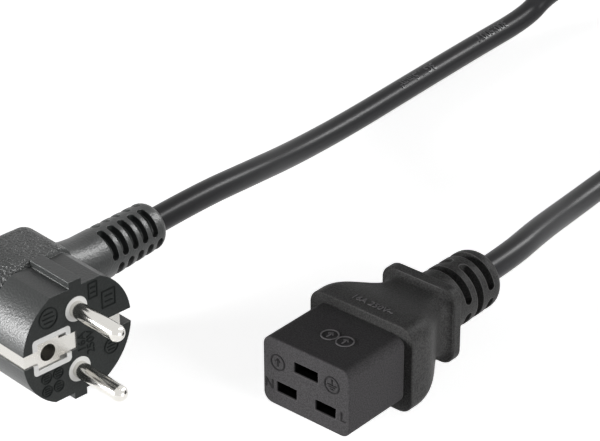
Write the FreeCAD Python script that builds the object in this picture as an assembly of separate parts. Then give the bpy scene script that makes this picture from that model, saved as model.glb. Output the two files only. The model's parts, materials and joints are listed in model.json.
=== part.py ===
"""Mains lead with a C19 connector: rubber-like grip moulded over a rigid nose with three
folded socket contacts, a free cord, and an angled two-pin earthed plug on its far end.

Millimetres. The nose points to -Y, the cord leaves along +Y, +Z is up, and z = 0 is the
surface that the connector lies on, under the middle of the connector.
"""
import FreeCAD
import Part
import math
import os

V = FreeCAD.Vector
ALONG = V(0, 1, 0)
UP = V(0, 0, 1)

# ---- whole connector, from the nose's face to the cord's exit, across its collar and up from the floor
LENGTH = 76.0
WIDTH = 36.0
HEIGHT = 26.8

# ---- connector nose
NOSE_WIDTH = 30.0
NOSE_HEIGHT = 20.8
NOSE_LENGTH = 22.5
NOSE_CORNER = 3.0
NOSE_EDGE = 0.5
NOSE_FACE_WALL = 2.5
SLOT_HEIGHT = 3.0
SLOT_LEAD_IN = 0.3
EARTH_SLOT_WIDTH = 8.0
LIVE_SLOT_WIDTH = 6.7
LIVE_SPACING = 13.5
EARTH_RISE = 4.3
LIVE_DROP = 4.3
CHAMBER_MARGIN = 0.9
CHAMBER_HEIGHT = 5.6
TAIL_LENGTH = 6.0
TAIL_STEP = 1.4
CAP_THICKNESS = 2.0

# ---- grip moulding
COLLAR_LENGTH = 3.0
COLLAR_CORNER = 4.6
COLLAR_EDGE = 0.5
WAIST_WIDTH = 21.4
WAIST_HEIGHT = 20.2
WAIST_CORNER = 5.8
WIDTH_EASE = 1.5
FLANGE_FILLET = 2.0
FLANGE_WIDTH = 25.6
FLANGE_HEIGHT = 24.0
FLANGE_CORNER = 4.5
FLANGE_THICKNESS = 3.4
FLANGE_EDGE = 0.6
GRIP_STATIONS = 7

# ---- strain relief of the connector
RELIEF_LENGTH = 25.5
RELIEF_ROOT_RADIUS = 9.3
RELIEF_TIP_RADIUS = 9.0
RELIEF_TIP_ROUND = 4.2
RELIEF_ROWS = 3
RELIEF_FIRST_ROW = 8.5
RELIEF_PITCH = 5.2
RELIEF_SLOT = 2.9
RELIEF_CORE_RADIUS = 5.2
RELIEF_HALF_ANGLE = 72.0
SLOT_OVERCUT = 1.0

# ---- socket contacts, folded from sheet
SHEET = 0.5
CONTACT_CLEARANCE = 0.2
CONTACT_LENGTH = 15.0
CONTACT_PINCH = 1.7
CONTACT_SET_BACK = 3.5
CRIMP_LENGTH = 6.0
CRIMP_SLIT = 0.6

# ---- cord and its cores
CORD_DIAMETER = 8.0
CORE_DIAMETER = 2.9
CONDUCTOR_DIAMETER = 1.6
CORE_SPREAD = 1.75
CORE_STRAIGHT = 2.0
PLUG_CORE_STRAIGHT = 8.0
INNER_MOULD_LENGTH = 15.5
INNER_MOULD_WIDTH = 20.0
INNER_MOULD_HEIGHT = 14.0
INNER_MOULD_END_WIDTH = 15.0
INNER_MOULD_END_HEIGHT = 12.0

# ---- plug
PLUG_PLACE = V(-56.5, -66.0, 0)
PLUG_TURN = 84.5
FACE_RADIUS = 18.5
FLAT_HEIGHT = 16.4
RIB_WIDTH = 4.2
RIB_HEIGHT = 18.4
DRUM_LENGTH = 16.5
HAND_RIGHT = 12.6
HAND_HALF_HEIGHT = 17.7
HAND_CORNER = 5.0
HAND_DEPTH = 20.5
HAND_BACK_ROUND = 4.8
HAND_FRONT_ROUND = 1.2
CORD_SETBACK = 27.5
CORD_TILT = 7.0
NECK_REACH = 29.0
NECK_HALF_HEIGHT = 13.5
NECK_COVER = 0.6
NECK_STATIONS = 5
PIN_RADIUS = 2.4
PIN_LENGTH = 19.0
PIN_SPACING = 19.0
PIN_ROOT = 5.0
PIN_SHOULDER_RADIUS = 3.0
PIN_NECK_RADIUS = 2.1
PIN_RING_RADIUS = 3.7
EARTH_OFFSET = 10.0
EARTH_HOLE_RADIUS = 2.5
EARTH_WALL = 0.5
EARTH_DEPTH = 14.0
BRIDGE_FRONT = 3.0
BRIDGE_THICKNESS = 6.0
BRIDGE_HALF_HEIGHT = 13.6
BRIDGE_RIGHT = 7.0
DRUM_WALL = 2.6
FRAME_LEFT = 15.2
FRAME_RIGHT = 2.4
FRAME_HALF_HEIGHT = 5.6
FRAME_WALL = 1.6
FRAME_SUNK = 1.2
POCKET_DEPTH = 2.0
FRAME_CORNER = 1.2
CLIP_WIDTH = 4.2
CLIP_THICKNESS = 0.8
CLIP_REACH = 13.0
CLIP_GAP = 0.5
NOTCH_DEPTH = 3.7
BENT_TAB = 3.2
PLATE_HALF_HEIGHT = 3.8
PLATE_LENGTH = 7.4
TONGUE_HALF_HEIGHT = 2.8
TONGUE_TIP = 0.4
PLUG_RELIEF_LENGTH = 26.5
PLUG_RELIEF_ROOT_RADIUS = 7.9
PLUG_RELIEF_TIP_RADIUS = 7.3
PLUG_RELIEF_TIP_ROUND = 3.0
PLUG_RELIEF_ROWS = 5
PLUG_RELIEF_FIRST_ROW = 3.6
PLUG_RELIEF_PITCH = 4.2
PLUG_RELIEF_SLOT = 2.6
PLUG_RELIEF_HALF_ANGLE = 30.0
PLUG_JACKET_INSIDE = 33.0

# ---- coil of put-away cord
COIL_X = -50.0
COIL_Y = 291.5
COIL_OUTER_TURN = 52.0
COIL_TURNS_ACROSS = 3
COIL_LAYERS = 2
COIL_TAIL = 32.0
COIL_ROUND = 0.9

# ---- worked out from the values above
CORD_RADIUS = CORD_DIAMETER / 2
AXIS_Z = HEIGHT / 2
TIP_Y = -LENGTH / 2
EXIT_Y = LENGTH / 2
COLLAR_Y = TIP_Y + NOSE_LENGTH
GRIP_Y = COLLAR_Y + COLLAR_LENGTH
RELIEF_Y = EXIT_Y - RELIEF_LENGTH
FLANGE_Y = RELIEF_Y - FLANGE_THICKNESS
WAIST_Y = FLANGE_Y - FLANGE_FILLET
GRIP_LENGTH = WAIST_Y - GRIP_Y
TAIL_Y = COLLAR_Y + TAIL_LENGTH
CAP_Y = TAIL_Y + CAP_THICKNESS
JACKET_Y = CAP_Y + INNER_MOULD_LENGTH
JACKET_INSIDE = EXIT_Y - JACKET_Y
CHAMBER_Y = TIP_Y + NOSE_FACE_WALL
CONTACT_Y = CHAMBER_Y + CONTACT_SET_BACK
PLUG_HEIGHT = RIB_HEIGHT
PLUG_EXIT_X = NECK_REACH + PLUG_RELIEF_LENGTH
PLUG_JACKET_X = PLUG_EXIT_X - PLUG_JACKET_INSIDE
EXIT_TURN = FreeCAD.Placement(V(0, CORD_SETBACK, 0), FreeCAD.Rotation(UP, CORD_TILT))
PLUG_TURNED = FreeCAD.Placement(PLUG_PLACE + UP * PLUG_HEIGHT, FreeCAD.Rotation(UP, PLUG_TURN))
POLES = {
    "earth": (0.0, AXIS_Z + EARTH_RISE, EARTH_SLOT_WIDTH, 90.0),
    "line": (LIVE_SPACING / 2, AXIS_Z - LIVE_DROP, LIVE_SLOT_WIDTH, -30.0),
    "neutral": (-LIVE_SPACING / 2, AXIS_Z - LIVE_DROP, LIVE_SLOT_WIDTH, 210.0),
}


def rounded_rectangle(width, height, corner, y, z=AXIS_Z):
    """Closed wire in the plane at y, centred on x = 0 and z."""
    a = width / 2
    b = height / 2
    r = min(corner, 0.98 * a, 0.98 * b)
    k = r * (1 - math.sqrt(0.5))
    edges = []
    for sx, sz in ((1, 1), (-1, 1), (-1, -1), (1, -1)):
        side = V(sx * a, y, z + sz * (b - r))
        mid = V(sx * (a - k), y, z + sz * (b - k))
        top = V(sx * (a - r), y, z + sz * b)
        if sx * sz > 0:
            edges.append((side, mid, top))
        else:
            edges.append((top, mid, side))
    wire = []
    for i, (start, mid, end) in enumerate(edges):
        wire.append(Part.Arc(start, mid, end).toShape())
        wire.append(Part.LineSegment(end, edges[(i + 1) % 4][0]).toShape())
    return Part.Wire(wire)


def prism(wire, length, direction=ALONG):
    """Solid made by pushing a flat closed wire along a direction."""
    return Part.Face(wire).extrude(direction * length)


def block(x0, x1, y0, y1, z0, z1):
    """Box between two corners."""
    return Part.makeBox(x1 - x0, y1 - y0, z1 - z0, V(x0, y0, z0))


def rod(radius, length, start, direction=ALONG):
    """Round bar."""
    return Part.makeCylinder(radius, length, start, direction)


def edges_at(shape, y, outside):
    """Edges that lie in the plane at y and further than `outside` from the middle axis."""
    found = []
    for edge in shape.Edges:
        box = edge.BoundBox
        flat = abs(box.YMin - y) < 1e-4 and abs(box.YMax - y) < 1e-4
        reach = max(abs(box.XMin), abs(box.XMax), abs(box.ZMin - AXIS_Z), abs(box.ZMax - AXIS_Z))
        if flat and reach > outside:
            found.append(edge)
    return found


# ---------------------------------------------------------------- paths and tubes
def tangent_path(points):
    """Straight runs joined by the largest tangent arcs that their lengths allow."""
    edges = []
    radii = []
    start = points[0]
    for before, corner, after in zip(points, points[1:], points[2:]):
        come = corner - before
        leave = after - corner
        turn = come.getAngle(leave)
        reach = 0.45 * min(come.Length, leave.Length)
        radii.append(reach / math.tan(turn / 2))
        come = come.normalize()
        leave = leave.normalize()
        arc_start = corner - come * reach
        arc_end = corner + leave * reach
        centre = corner + (leave - come).normalize() * (radii[-1] / math.cos(turn / 2))
        middle = centre + (corner - centre).normalize() * radii[-1]
        edges.append(Part.LineSegment(start, arc_start).toShape())
        edges.append(Part.Arc(arc_start, middle, arc_end).toShape())
        start = arc_end
    edges.append(Part.LineSegment(start, points[-1]).toShape())
    return Part.Wire(edges), radii


def tube(points, diameter, name=""):
    """Round solid along a tangent path; a named one prints its radii and its volume."""
    path, radii = tangent_path(points)
    circle = Part.makeCircle(diameter / 2, points[0], points[1] - points[0])
    solid = path.makePipeShell([Part.Wire(circle)], True, True)
    if name:
        expected = math.pi * diameter ** 2 / 4 * path.Length
        print(name, "length", round(path.Length, 1), "volume ratio", round(solid.Volume / expected, 4),
              "radii", [round(r) for r in radii])
    return solid


# ---------------------------------------------------------------- strain relief
def slot_cutter(y, width, outer, inner, middle_angle, half_angle):
    """Ring sector about the Y axis with rounded ends, angles counted from +Z towards +X."""
    ring = rod(outer, width, V(0, y - width / 2, 0)).cut(rod(inner, width, V(0, y - width / 2, 0)))
    sector = Part.makeCylinder(outer + SLOT_OVERCUT, width, V(0, y - width / 2, 0), ALONG, 2 * half_angle)
    sector.rotate(V(0, 0, 0), ALONG, middle_angle - half_angle)
    cutter = ring.common(sector)
    for side in (-1, 1):
        angle = math.radians(middle_angle + side * half_angle)
        out = V(math.sin(angle), 0, math.cos(angle))
        cutter = cutter.fuse(rod(width / 2, outer - inner, out * inner + V(0, y, 0), out))
    return cutter


def strain_relief(length, root_radius, tip_radius, tip_round):
    """Slightly tapered round sleeve along +Y from the origin, with a rounded tip."""
    shoulder = length - tip_round
    turn = V(tip_radius - tip_round * (1 - math.sqrt(0.5)), shoulder + tip_round * math.sqrt(0.5), 0)
    outline = [
        Part.LineSegment(V(0, 0, 0), V(root_radius, 0, 0)).toShape(),
        Part.LineSegment(V(root_radius, 0, 0), V(tip_radius, shoulder, 0)).toShape(),
        Part.Arc(V(tip_radius, shoulder, 0), turn, V(tip_radius - tip_round, length, 0)).toShape(),
        Part.LineSegment(V(tip_radius - tip_round, length, 0), V(0, length, 0)).toShape(),
        Part.LineSegment(V(0, length, 0), V(0, 0, 0)).toShape(),
    ]
    return Part.Face(Part.Wire(outline)).revolve(V(0, 0, 0), ALONG, 360)


def cut_rows(sleeve, rows, first, pitch, width, outer, inner, angles, half_angle):
    """Cut rows of slots; `angles` gives the middle angles of each row in turn."""
    for row in range(rows):
        for middle in angles[row % len(angles)]:
            sleeve = sleeve.cut(slot_cutter(first + row * pitch, width, outer, inner, middle, half_angle))
    return sleeve


# ---------------------------------------------------------------- connector
def chamber(pole):
    """Hollow behind one slot, from the face wall to the back of the nose insert."""
    x, z, width, _ = POLES[pole]
    half = width / 2 + CHAMBER_MARGIN
    return block(x - half, x + half, CHAMBER_Y, TAIL_Y, z - CHAMBER_HEIGHT / 2, z + CHAMBER_HEIGHT / 2)


def slot_mouth(pole):
    """Slot through the face wall, with a lead-in all round its mouth."""
    x, z, width, _ = POLES[pole]
    slot = block(x - width / 2, x + width / 2, TIP_Y, CHAMBER_Y, z - SLOT_HEIGHT / 2, z + SLOT_HEIGHT / 2)
    wires = []
    for y, grow in ((TIP_Y, SLOT_LEAD_IN), (TIP_Y + SLOT_LEAD_IN, 0)):
        a = width / 2 + grow
        b = SLOT_HEIGHT / 2 + grow
        corners = [V(x + a, y, z + b), V(x - a, y, z + b), V(x - a, y, z - b), V(x + a, y, z - b)]
        wires.append(Part.makePolygon(corners + corners[:1]))
    return slot.fuse(Part.makeLoft(wires, True, True))


def nose_insert():
    """Rigid nose with three slots, and a stepped tail that the grip is moulded round."""
    nose = prism(rounded_rectangle(NOSE_WIDTH, NOSE_HEIGHT, NOSE_CORNER, TIP_Y), NOSE_LENGTH)
    nose = nose.makeFillet(NOSE_EDGE, edges_at(nose, TIP_Y, 0))
    tail = prism(rounded_rectangle(NOSE_WIDTH - 2 * TAIL_STEP, NOSE_HEIGHT - 2 * TAIL_STEP,
                                   NOSE_CORNER, COLLAR_Y), TAIL_LENGTH)
    nose = nose.fuse(tail)
    for pole in POLES:
        nose = nose.cut(slot_mouth(pole)).cut(chamber(pole))
    return nose


def spring_leaf(x, z, side, half_width, rear, front):
    """One bowed leaf of a contact, an arc of sheet that pinches the pin at its middle."""
    high = CHAMBER_HEIGHT / 2 - CONTACT_CLEARANCE - SHEET
    low = CONTACT_PINCH / 2
    middle = (rear + front) / 2
    outline = [
        Part.Arc(V(x - half_width, rear, z + side * high), V(x - half_width, middle, z + side * low),
                 V(x - half_width, front, z + side * high)).toShape(),
        Part.LineSegment(V(x - half_width, front, z + side * high),
                         V(x - half_width, front, z + side * (high + SHEET))).toShape(),
        Part.Arc(V(x - half_width, front, z + side * (high + SHEET)),
                 V(x - half_width, middle, z + side * (low + SHEET)),
                 V(x - half_width, rear, z + side * (high + SHEET))).toShape(),
        Part.LineSegment(V(x - half_width, rear, z + side * (high + SHEET)),
                         V(x - half_width, rear, z + side * high)).toShape(),
    ]
    return prism(Part.Wire(outline), 2 * half_width, V(1, 0, 0))


def crimp(start, direction=ALONG):
    """Sheet barrel closed round the stripped end of a core, with its seam as a slit."""
    inner = CONDUCTOR_DIAMETER / 2
    barrel = rod(inner + SHEET, CRIMP_LENGTH, start, direction).cut(
        rod(inner, CRIMP_LENGTH, start, direction))
    slit = Part.makeBox(CRIMP_SLIT, inner + 2 * SHEET, CRIMP_LENGTH, V(-CRIMP_SLIT / 2, 0, 0))
    slit.Placement = FreeCAD.Placement(start, FreeCAD.Rotation(UP, direction))
    return barrel.cut(slit)


def socket_contact(pole):
    """Female contact: two bowed leaves on a folded back wall, and the crimp behind it."""
    x, z, width, _ = POLES[pole]
    half = width / 2 + CHAMBER_MARGIN - CONTACT_CLEARANCE
    rear = CONTACT_Y + CONTACT_LENGTH
    wall_half = CHAMBER_HEIGHT / 2 - CONTACT_CLEARANCE
    contact = block(x - half, x + half, rear, rear + SHEET, z - wall_half, z + wall_half)
    for side in (-1, 1):
        contact = contact.fuse(spring_leaf(x, z, side, half, rear, CONTACT_Y))
    neck = rod(CONDUCTOR_DIAMETER / 2 + SHEET, TAIL_Y - rear, V(x, rear, z))
    return contact.fuse(neck).fuse(crimp(V(x, TAIL_Y, z)))


def crimp_hole(pole):
    """Round way for one crimp, as long as the cap and the inner mould need."""
    x, z, _, _ = POLES[pole]
    return rod(CONDUCTOR_DIAMETER / 2 + SHEET, CRIMP_LENGTH, V(x, TAIL_Y, z))


def insert_cap():
    """Plate that closes the chambers behind the contacts."""
    cap = prism(rounded_rectangle(NOSE_WIDTH - 2 * TAIL_STEP, NOSE_HEIGHT - 2 * TAIL_STEP,
                                  NOSE_CORNER, TAIL_Y), CAP_THICKNESS)
    for pole in POLES:
        cap = cap.cut(crimp_hole(pole))
    return cap


def core_route(pole):
    """Points of one core, from behind its crimp to its place in the round cord."""
    x, z, _, angle = POLES[pole]
    away = math.radians(angle)
    end = V(CORE_SPREAD * math.cos(away), JACKET_Y, AXIS_Z + CORE_SPREAD * math.sin(away))
    start = V(x, TAIL_Y + CRIMP_LENGTH, z)
    return [start, start + ALONG * CORE_STRAIGHT, end - ALONG * CORE_STRAIGHT, end]


def core(pole):
    """Insulation of one core between its crimp and the end of the jacket."""
    return tube(core_route(pole), CORE_DIAMETER)


def conductor(pole):
    """Stripped strands of one core, inside the crimp."""
    x, z, _, _ = POLES[pole]
    return rod(CONDUCTOR_DIAMETER / 2, CRIMP_LENGTH, V(x, TAIL_Y, z))


def inner_mould_block():
    """Outer shape of the first moulding, round the crimps and cores."""
    front = rounded_rectangle(INNER_MOULD_WIDTH, INNER_MOULD_HEIGHT, NOSE_CORNER, CAP_Y)
    back = rounded_rectangle(INNER_MOULD_END_WIDTH, INNER_MOULD_END_HEIGHT, NOSE_CORNER, JACKET_Y)
    return Part.makeLoft([front, back], True, True)


def inner_mould():
    """First moulding, which locks the crimps and cores in place."""
    body = inner_mould_block()
    for pole in POLES:
        body = body.cut(crimp_hole(pole)).cut(core(pole))
    return body


def jacket_end(length, start, direction):
    """Stretch of the cord's jacket that the strain relief is moulded on."""
    return rod(CORD_RADIUS, length, start, direction)


def grip_size(y):
    """Width, height and corner of the grip at y: one smooth swell from collar to waist."""
    share = (1 - math.cos(math.pi * (y - GRIP_Y) / GRIP_LENGTH)) / 2
    return (WIDTH + (WAIST_WIDTH - WIDTH) * share ** WIDTH_EASE,
            HEIGHT + (WAIST_HEIGHT - HEIGHT) * share,
            COLLAR_CORNER + (WAIST_CORNER - COLLAR_CORNER) * share)


def grip_body():
    """Collar and swelling grip, down to the waist in front of the finger flange."""
    collar = prism(rounded_rectangle(WIDTH, HEIGHT, COLLAR_CORNER, COLLAR_Y), COLLAR_LENGTH)
    collar = collar.makeFillet(COLLAR_EDGE, edges_at(collar, COLLAR_Y, 0))
    wires = []
    for i in range(GRIP_STATIONS):
        y = GRIP_Y + GRIP_LENGTH * i / (GRIP_STATIONS - 1)
        wires.append(rounded_rectangle(*grip_size(y), y))
    return collar.fuse(Part.makeLoft(wires, True, False))


def finger_flange():
    """Plate that stops the fingers, with the fillet that runs out of the waist."""
    wires = []
    for angle in (0, 30, 60, 80):
        grow = 1 - math.cos(math.radians(angle))
        y = WAIST_Y + FLANGE_FILLET * math.sin(math.radians(angle))
        wires.append(rounded_rectangle(WAIST_WIDTH + 2 * FLANGE_FILLET * grow,
                                       WAIST_HEIGHT + 2 * FLANGE_FILLET * grow, WAIST_CORNER, y))
    swell = Part.makeLoft(wires, True, False)
    top = wires[-1].BoundBox.YMin
    swell = swell.fuse(prism(wires[-1], FLANGE_Y - top))
    plate = prism(rounded_rectangle(FLANGE_WIDTH, FLANGE_HEIGHT, FLANGE_CORNER, FLANGE_Y), FLANGE_THICKNESS)
    rims = edges_at(plate, FLANGE_Y, 0) + edges_at(plate, RELIEF_Y, 0)
    return swell.fuse(plate.makeFillet(FLANGE_EDGE, rims))


def grip_moulding():
    """Outer moulding: collar, grip, finger flange and slotted strain relief in one piece."""
    relief = strain_relief(RELIEF_LENGTH, RELIEF_ROOT_RADIUS, RELIEF_TIP_RADIUS, RELIEF_TIP_ROUND)
    relief = cut_rows(relief, RELIEF_ROWS, RELIEF_FIRST_ROW, RELIEF_PITCH, RELIEF_SLOT,
                      RELIEF_ROOT_RADIUS + SLOT_OVERCUT, RELIEF_CORE_RADIUS, ((0, 180), (90, 270)),
                      RELIEF_HALF_ANGLE)
    relief.translate(V(0, RELIEF_Y, AXIS_Z))
    body = grip_body().fuse(finger_flange()).fuse(relief)
    tail = prism(rounded_rectangle(NOSE_WIDTH - 2 * TAIL_STEP, NOSE_HEIGHT - 2 * TAIL_STEP,
                                   NOSE_CORNER, COLLAR_Y), TAIL_LENGTH + CAP_THICKNESS)
    jacket = jacket_end(JACKET_INSIDE, V(0, JACKET_Y, AXIS_Z), ALONG)
    return body.cut(tail).cut(inner_mould_block()).cut(jacket).removeSplitter()


# ---------------------------------------------------------------- plug, in its own frame
# X runs to the cord's side, pins point to -Y from the face at y = 0, Z is the pin line.
# The cord's own axis in the plug starts above the middle of the pins, CORD_SETBACK behind the
# face, and leans back by CORD_TILT as it leaves; neck, strain relief and jacket lie along it.
def plug_place(shape):
    """Move a plug piece from the plug's frame to where the plug lies."""
    shape = shape.copy()
    shape.transformShape(PLUG_TURNED.toMatrix())
    return shape


def exit_place(shape):
    """Move a piece that lies along +X from the origin onto the cord's axis in the plug."""
    shape = shape.copy()
    shape.transformShape(EXIT_TURN.toMatrix())
    return shape


def drum():
    """Round front of the plug with two flats, and a rib along the middle of each flat."""
    round_bar = rod(FACE_RADIUS, DRUM_LENGTH, V(0, 0, 0))
    body = round_bar.common(block(-FACE_RADIUS, FACE_RADIUS, 0, DRUM_LENGTH, -FLAT_HEIGHT, FLAT_HEIGHT))
    return body.fuse(block(-RIB_WIDTH / 2, RIB_WIDTH / 2, 0, DRUM_LENGTH, -RIB_HEIGHT, RIB_HEIGHT))


def hand_outline():
    """Closed wire at the drum's back: a half circle on one side, two corners on the cord's side."""
    high = HAND_HALF_HEIGHT
    flat = HAND_RIGHT - HAND_CORNER
    wall = high - HAND_CORNER
    bend = HAND_CORNER * math.sqrt(0.5)
    corners = {}
    for up in (1, -1):
        corners[up] = [V(flat, DRUM_LENGTH, up * high), V(flat + bend, DRUM_LENGTH, up * (wall + bend)),
                       V(HAND_RIGHT, DRUM_LENGTH, up * wall)]
    top = V(0, DRUM_LENGTH, high)
    bottom = V(0, DRUM_LENGTH, -high)
    return Part.Wire([
        Part.LineSegment(top, corners[1][0]).toShape(),
        Part.Arc(*corners[1]).toShape(),
        Part.LineSegment(corners[1][2], corners[-1][2]).toShape(),
        Part.Arc(*reversed(corners[-1])).toShape(),
        Part.LineSegment(corners[-1][0], bottom).toShape(),
        Part.Arc(bottom, V(-high, DRUM_LENGTH, 0), top).toShape(),
    ])


def hand_block():
    """Block behind the drum, which the hand holds."""
    hand = prism(hand_outline(), HAND_DEPTH)
    hand = hand.makeFillet(HAND_BACK_ROUND, edges_at(hand, DRUM_LENGTH + HAND_DEPTH, 0))
    return hand.makeFillet(HAND_FRONT_ROUND, edges_at(hand, DRUM_LENGTH, 0))


def neck():
    """Shoulder that draws in from the hand block to the round strain relief."""
    depth = DRUM_LENGTH + HAND_DEPTH - CORD_SETBACK
    wires = []
    for i in range(NECK_STATIONS):
        share = i / (NECK_STATIONS - 1)
        ease = (1 + math.cos(math.pi * share)) / 2
        high = PLUG_RELIEF_ROOT_RADIUS + (NECK_HALF_HEIGHT - PLUG_RELIEF_ROOT_RADIUS) * ease
        deep = PLUG_RELIEF_ROOT_RADIUS + (depth - NECK_COVER - PLUG_RELIEF_ROOT_RADIUS) * ease
        wires.append(ellipse(NECK_REACH * share, deep, high))
    return exit_place(Part.makeLoft(wires, True, False))


def ellipse(x, deep, high):
    """Upright ellipse across the cord's axis at x, with half sizes along Y and Z."""
    centre = V(x, 0, 0)
    if high > deep:
        return Part.Wire(Part.Ellipse(centre + UP * high, centre + ALONG * deep, centre).toShape())
    return Part.Wire(Part.Ellipse(centre + ALONG * deep, centre + UP * high, centre).toShape())


def plug_relief():
    """Slotted strain relief of the plug, from the neck along the cord's axis."""
    sleeve = strain_relief(PLUG_RELIEF_LENGTH, PLUG_RELIEF_ROOT_RADIUS, PLUG_RELIEF_TIP_RADIUS,
                           PLUG_RELIEF_TIP_ROUND)
    for shift, angles in ((0, (45, 225)), (PLUG_RELIEF_PITCH / 2, (135, 315))):
        sleeve = cut_rows(sleeve, PLUG_RELIEF_ROWS, PLUG_RELIEF_FIRST_ROW + shift, PLUG_RELIEF_PITCH,
                          PLUG_RELIEF_SLOT, PLUG_RELIEF_ROOT_RADIUS + SLOT_OVERCUT, RELIEF_CORE_RADIUS,
                          (angles,), PLUG_RELIEF_HALF_ANGLE)
    sleeve.rotate(V(0, 0, 0), UP, -90)
    sleeve.translate(V(NECK_REACH, 0, 0))
    return exit_place(sleeve)


def plug_moulding():
    """Drum, hand block, neck and slotted strain relief of the plug in one piece."""
    body = drum().fuse(hand_block()).fuse(neck()).fuse(plug_relief())
    body = body.cut(bridge_outer()).cut(clip_notches())
    body = body.cut(plug_jacket_end()).cut(sleeve_bore(EARTH_HOLE_RADIUS + EARTH_WALL))
    for side in (-1, 1):
        body = body.cut(plug_crimp_hole(side))
    for pole in POLES:
        body = body.cut(plug_core(pole))
    return body.removeSplitter()


def plug_jacket_end():
    """Stretch of the cord's jacket inside the plug's strain relief."""
    return exit_place(jacket_end(PLUG_JACKET_INSIDE, V(PLUG_JACKET_X, 0, 0), V(1, 0, 0)))


def bridge_outer():
    """Outside of the light bridge: plate, two pin rings and the frame round the earth socket."""
    plate = block(-FRAME_LEFT, BRIDGE_RIGHT, BRIDGE_FRONT, BRIDGE_FRONT + BRIDGE_THICKNESS,
                  -BRIDGE_HALF_HEIGHT, BRIDGE_HALF_HEIGHT)
    plate = plate.common(rod(FACE_RADIUS - DRUM_WALL, BRIDGE_THICKNESS, V(0, BRIDGE_FRONT, 0)))
    for side in (-1, 1):
        plate = plate.fuse(rod(PIN_RING_RADIUS, BRIDGE_FRONT, V(0, 0, side * PIN_SPACING / 2)))
    frame = block(-FRAME_LEFT, -FRAME_RIGHT, 0, BRIDGE_FRONT, -FRAME_HALF_HEIGHT, FRAME_HALF_HEIGHT)
    corners = [edge for edge in frame.Edges if edge.BoundBox.YLength > BRIDGE_FRONT / 2]
    return plate.fuse(frame.makeFillet(FRAME_CORNER, corners))


def sleeve_bore(radius):
    """Round way of the earth socket."""
    return rod(radius, EARTH_DEPTH, V(-EARTH_OFFSET, FRAME_SUNK, 0))


def frame_opening():
    """Recess in the frame, open where the clip passes, with a pocket at each shoulder of the tongue."""
    high = FRAME_HALF_HEIGHT - FRAME_WALL
    left = FRAME_WALL - FRAME_LEFT
    right = -FRAME_RIGHT - FRAME_WALL
    opening = block(left, right, 0, FRAME_SUNK, -high, high)
    opening = opening.fuse(block(-FRAME_LEFT, left, 0, FRAME_SUNK, -CLIP_WIDTH / 2, CLIP_WIDTH / 2))
    opening = opening.fuse(block(right, -FRAME_RIGHT, 0, FRAME_SUNK, -TONGUE_HALF_HEIGHT, TONGUE_HALF_HEIGHT))
    shoulder = left + PLATE_LENGTH
    for low in (-high, TONGUE_HALF_HEIGHT):
        opening = opening.fuse(block(shoulder, right, 0, FRAME_SUNK + POCKET_DEPTH, low,
                                     low + high - TONGUE_HALF_HEIGHT))
    return opening


def plug_bridge():
    """Light moulded bridge that holds the pins, the earth socket and the earth clip."""
    bridge = bridge_outer().cut(frame_opening())
    for side in (-1, 1):
        bridge = bridge.cut(pin(side))
    return bridge.cut(sleeve_bore(EARTH_HOLE_RADIUS + EARTH_WALL)).cut(earth_clip()).removeSplitter()


def pin(side):
    """Solid round contact pin with a domed tip, a neck and a shoulder in the bridge, and a bored root."""
    z = side * PIN_SPACING / 2
    shank = rod(PIN_RADIUS, PIN_LENGTH - PIN_RADIUS, V(0, PIN_RADIUS - PIN_LENGTH, z))
    shank = shank.fuse(rod(PIN_NECK_RADIUS, BRIDGE_FRONT, V(0, 0, z)))
    dome = Part.makeSphere(PIN_RADIUS, V(0, PIN_RADIUS - PIN_LENGTH, z))
    shoulder = rod(PIN_SHOULDER_RADIUS, BRIDGE_THICKNESS, V(0, BRIDGE_FRONT, z))
    root = rod(CONDUCTOR_DIAMETER / 2 + SHEET, PIN_ROOT, V(0, BRIDGE_FRONT + BRIDGE_THICKNESS, z))
    bore = rod(CONDUCTOR_DIAMETER / 2, PIN_ROOT, V(0, BRIDGE_FRONT + BRIDGE_THICKNESS, z))
    return shank.fuse(dome).fuse(shoulder).fuse(root.cut(bore)).removeSplitter()


def plug_crimp_hole(side):
    """Round way of one pin's root behind the bridge."""
    z = side * PIN_SPACING / 2
    return rod(CONDUCTOR_DIAMETER / 2 + SHEET, PIN_ROOT, V(0, BRIDGE_FRONT + BRIDGE_THICKNESS, z))


def earth_clip():
    """Folded earth bracket: a leg in the drum's side, a strip and a plate pierced by the socket."""
    inner = FACE_RADIUS - CLIP_GAP
    y0 = FRAME_SUNK - CLIP_THICKNESS
    left = FRAME_WALL - FRAME_LEFT
    leg = block(-inner, -inner + CLIP_THICKNESS, y0, CLIP_REACH, -CLIP_WIDTH / 2, CLIP_WIDTH / 2)
    strip = block(-inner, left, y0, FRAME_SUNK, -CLIP_WIDTH / 2, CLIP_WIDTH / 2)
    plate = block(left, left + PLATE_LENGTH, y0, FRAME_SUNK, -PLATE_HALF_HEIGHT, PLATE_HALF_HEIGHT)
    tongue = block(left, -TONGUE_TIP, y0, FRAME_SUNK, -TONGUE_HALF_HEIGHT, TONGUE_HALF_HEIGHT)
    clip = strip.fuse(plate).fuse(tongue).fuse(leg)
    return clip.cut(rod(EARTH_HOLE_RADIUS, 2 * FRAME_SUNK, V(-EARTH_OFFSET, 0, 0))).removeSplitter()


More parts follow.
